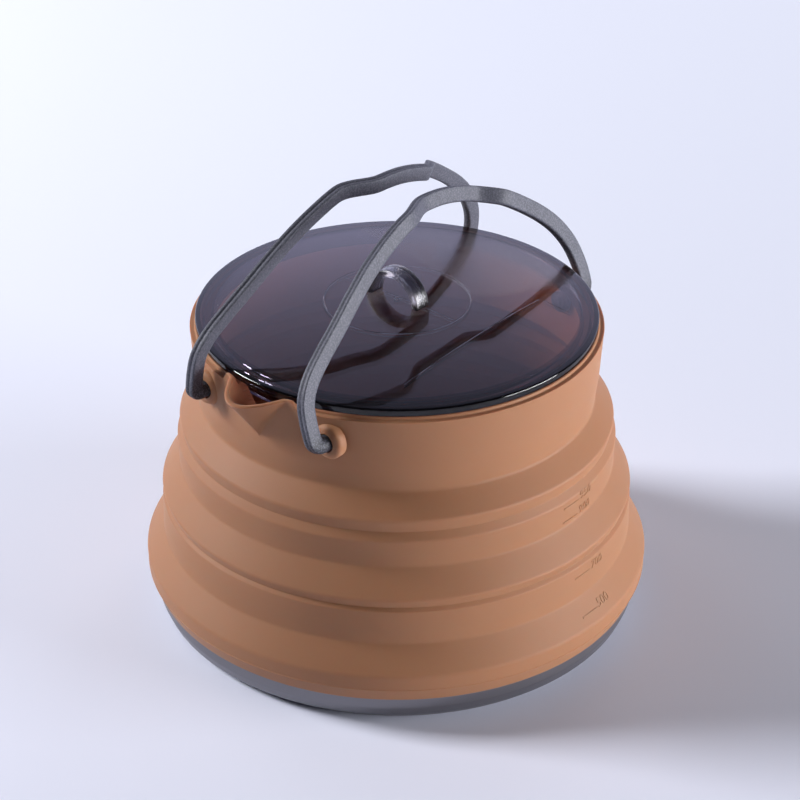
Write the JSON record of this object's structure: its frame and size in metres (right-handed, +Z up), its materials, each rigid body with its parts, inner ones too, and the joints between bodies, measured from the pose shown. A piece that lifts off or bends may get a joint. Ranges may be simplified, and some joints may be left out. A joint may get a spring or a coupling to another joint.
{
  "type": "collapsible kettle",
  "caption": "Collapsible camping kettle: flat metal pan, folding silicone body with a pouring beak, hinged bails and a clear smoked lid with a finger loop.",
  "frame": {"origin": "centre of the pan's flat underside, where the kettle stands", "axes": "+Z up through the lid, -Y towards the spout, +X towards the bail on the right of someone facing the spout"},
  "size_m": [0.162, 0.162, 0.1412],
  "materials": {
    "silicone": "matte terracotta silicone",
    "anodised_aluminium": "satin dark grey anodised",
    "grey_nylon": "fine-grained matte grey",
    "smoked_plastic": "clear smoked gloss"
  },
  "bodies": {
    "base": {"base_pan": "anodised_aluminium", "base_band": "silicone", "lower_fold": "silicone"},
    "lower_tier": {"lower_ring": "silicone", "middle_fold": "silicone"},
    "middle_tier": {"middle_ring": "silicone", "upper_fold": "silicone"},
    "collar": {"collar": "silicone"},
    "bail_left": {"bail_left": "grey_nylon"},
    "bail_right": {"bail_right": "grey_nylon"},
    "lid": {"lid": "smoked_plastic"}
  },
  "joints": [
    {"name": "lower_slide", "type": "slide", "parent": "base", "child": "lower_tier", "axis": [0, 0, -1], "range_m": [0, 0.021], "deforming": ["lower_fold"]},
    {"name": "middle_slide", "type": "slide", "parent": "lower_tier", "child": "middle_tier", "axis": [0, 0, -1], "range_m": [0, 0.02], "deforming": ["middle_fold"]},
    {"name": "upper_slide", "type": "slide", "parent": "middle_tier", "child": "collar", "axis": [0, 0, -1], "range_m": [0, 0.0195], "deforming": ["upper_fold"]},
    {"name": "left_bail_hinge", "type": "hinge", "parent": "collar", "child": "bail_left", "pos_m": [-0.0245, 0, 0.0905], "axis": [0, -1, 0], "range_deg": [-13, 98]},
    {"name": "right_bail_hinge", "type": "hinge", "parent": "collar", "child": "bail_right", "pos_m": [0.0245, 0, 0.0905], "axis": [0, 1, 0], "range_deg": [-4.5, 106.5]},
    {"name": "lid_lift", "type": "slide", "parent": "collar", "child": "lid", "axis": [0, 0, 1], "range_m": [0, 0.0026]}
  ]
}
